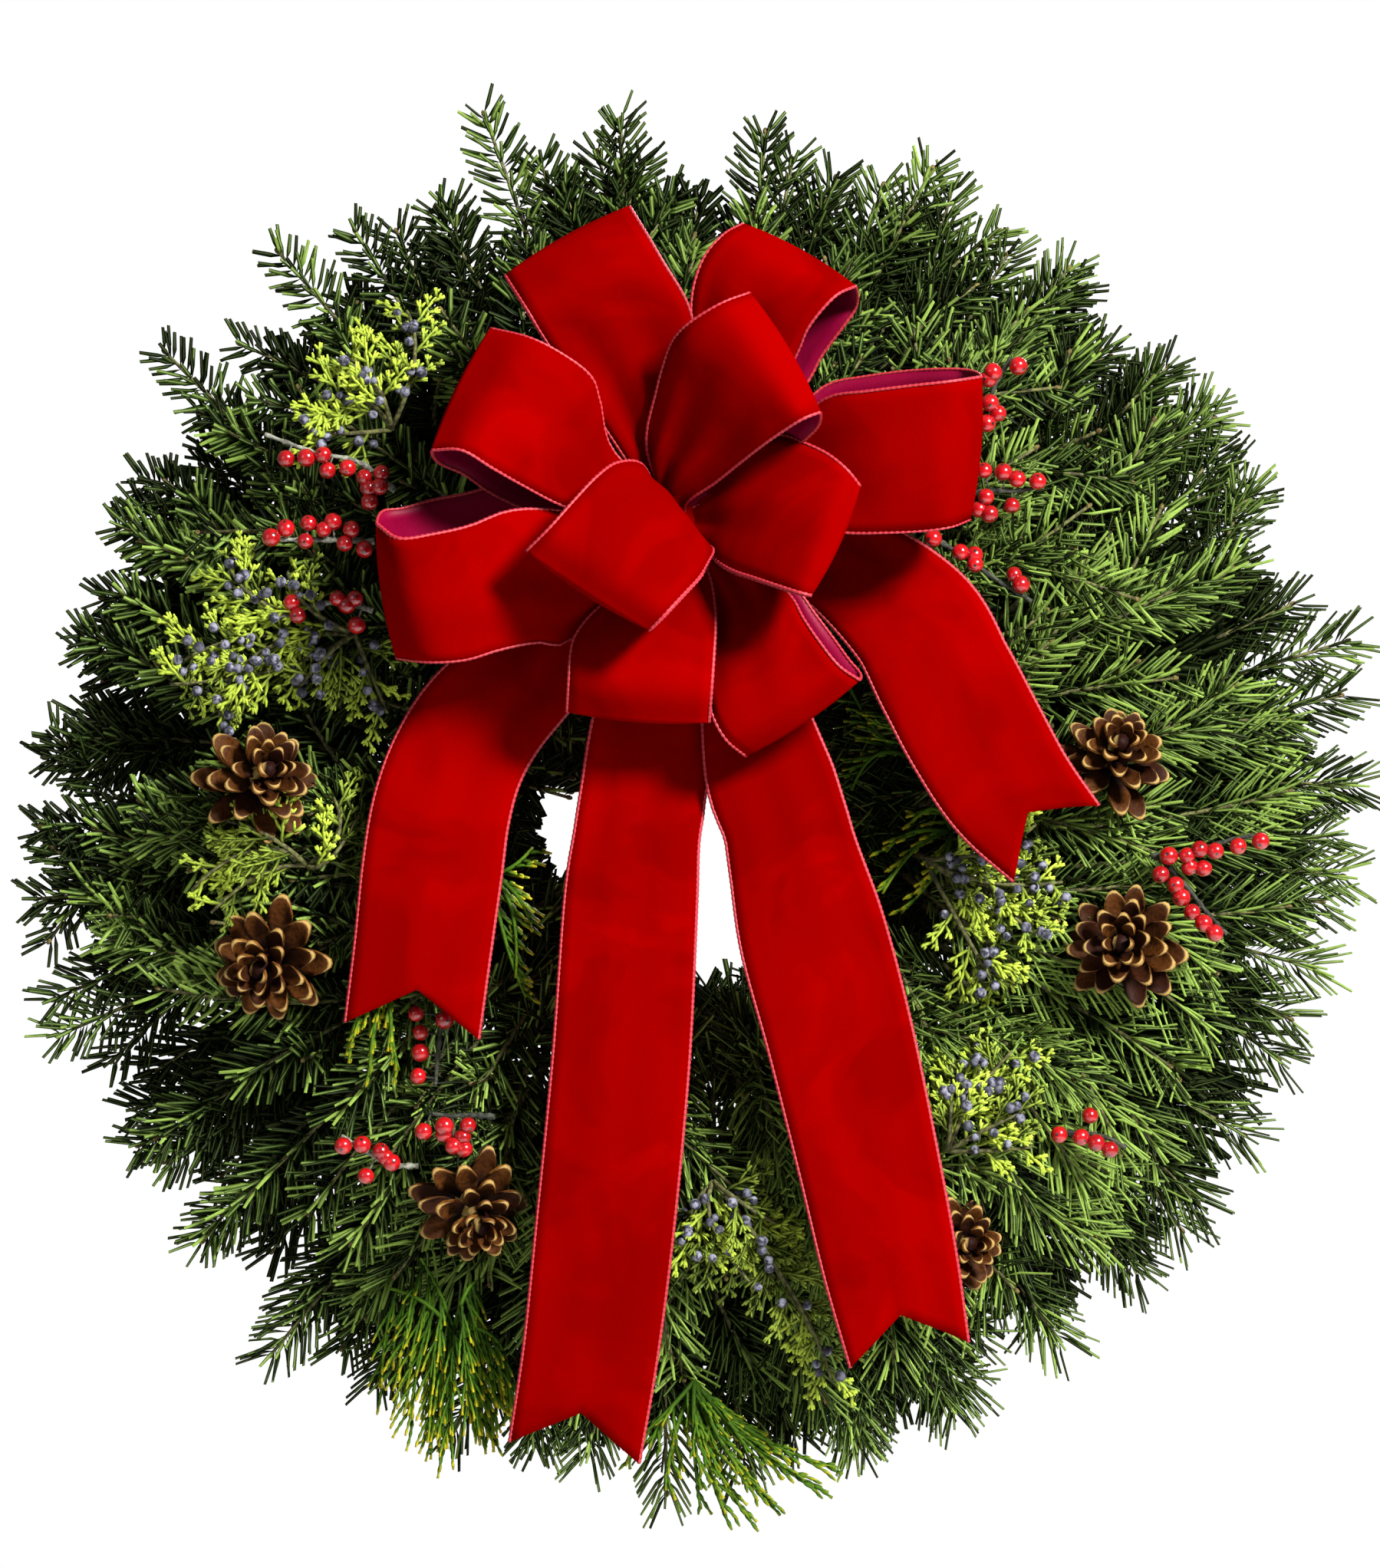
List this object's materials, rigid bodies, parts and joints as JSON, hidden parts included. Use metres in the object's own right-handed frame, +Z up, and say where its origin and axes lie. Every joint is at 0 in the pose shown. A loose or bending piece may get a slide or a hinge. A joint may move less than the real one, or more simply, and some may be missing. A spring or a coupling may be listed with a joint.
{
  "type": "christmas wreath",
  "caption": "Round artificial fir wreath on a wire ring, with pine cones, red berries, juniper, cedar and a large red velvet bow with long tails.",
  "frame": {"origin": "where a door hook carries the wreath: the underside of the wire ring at its top", "axes": "+Z up as it hangs, -Y out of its front towards the viewer, +X to the viewer's right"},
  "size_m": [0.6068, 0.1718, 0.6402],
  "materials": {
    "green_wire": "satin",
    "fir": "matt",
    "juniper": "matt",
    "cedar": "matt",
    "pine_cone": "matt",
    "red_berries": "gloss",
    "velvet_ribbon": "velvet",
    "tie_wire": "satin"
  },
  "bodies": {
    "root": {"berry_pick_bottom_cluster": "red_berries", "berry_pick_bottom_left": "red_berries", "berry_pick_bottom_right": "red_berries", "berry_pick_inner_left": "red_berries", "berry_pick_left_low": "red_berries", "berry_pick_left_middle": "red_berries", "berry_pick_left_top": "red_berries", "berry_pick_right_low": "red_berries", "berry_pick_right_middle": "red_berries", "berry_pick_right_side": "red_berries", "berry_pick_right_top": "red_berries", "bow_loops": "velvet_ribbon", "bow_tails_long": "velvet_ribbon", "bow_tails_short": "velvet_ribbon", "bow_tie_wire": "tie_wire", "cedar_bottom_left": "cedar", "cedar_bottom_right": "cedar", "cedar_inner_left": "cedar", "cedar_inner_right": "cedar", "cedar_inner_top_right": "cedar", "cedar_left_low": "cedar", "cone_bottom_left": "pine_cone", "cone_bottom_right": "pine_cone", "cone_left_lower": "pine_cone", "cone_left_upper": "pine_cone", "cone_right_lower": "pine_cone", "cone_right_upper": "pine_cone", "fir_bunch_01": "fir", "fir_bunch_02": "fir", "fir_bunch_03": "fir", "fir_bunch_04": "fir", "fir_bunch_05": "fir", "fir_bunch_06": "fir", "fir_bunch_07": "fir", "fir_bunch_08": "fir", "fir_bunch_09": "fir", "fir_bunch_10": "fir", "fir_bunch_11": "fir", "fir_bunch_12": "fir", "fir_bunch_13": "fir", "fir_bunch_14": "fir", "fir_bunch_15": "fir", "fir_bunch_16": "fir", "juniper_bottom": "juniper", "juniper_bottom_right": "juniper", "juniper_left": "juniper", "juniper_left_low": "juniper", "juniper_left_top": "juniper", "juniper_right": "juniper", "wire_clamp_ring": "green_wire"}
  },
  "joints": []
}
